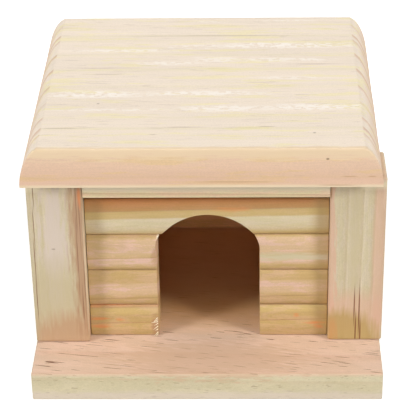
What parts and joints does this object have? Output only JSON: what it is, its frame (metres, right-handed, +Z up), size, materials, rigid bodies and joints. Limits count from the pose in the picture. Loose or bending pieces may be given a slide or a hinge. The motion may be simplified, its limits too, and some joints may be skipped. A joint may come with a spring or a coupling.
{
  "type": "small pet house",
  "caption": "Free-standing wooden nest house for a hamster: half-log walls between square posts, arched doorway, porch step and thick roof board.",
  "frame": {"origin": "on the ground, in the middle of the overall width and depth", "axes": "+Z up, the doorway faces -Y, +X to the right as seen from the front"},
  "size_m": [0.121, 0.1182, 0.0896],
  "materials": {
    "base_pine": "bare sanded pine",
    "post_pine": "bare sanded pine",
    "header_pine": "bare sanded pine",
    "log_pine": "bare sanded pine, round face",
    "roof_pine": "bare sanded pine"
  },
  "bodies": {
    "root": {"base_board": "base_pine", "front_left_post": "post_pine", "front_right_post": "post_pine", "rear_left_post": "post_pine", "rear_right_post": "post_pine", "door_header": "header_pine", "front_top_log": "log_pine", "front_arch_log": "log_pine", "front_left_log_1": "log_pine", "front_left_log_2": "log_pine", "front_left_log_3": "log_pine", "front_right_log_1": "log_pine", "front_right_log_2": "log_pine", "front_right_log_3": "log_pine", "left_log_1": "log_pine", "left_log_2": "log_pine", "left_log_3": "log_pine", "left_log_4": "log_pine", "left_log_5": "log_pine", "right_log_1": "log_pine", "right_log_2": "log_pine", "right_log_3": "log_pine", "right_log_4": "log_pine", "right_log_5": "log_pine", "rear_log_1": "log_pine", "rear_log_2": "log_pine", "rear_log_3": "log_pine", "rear_log_4": "log_pine", "rear_log_5": "log_pine", "roof_board": "roof_pine"}
  },
  "joints": []
}
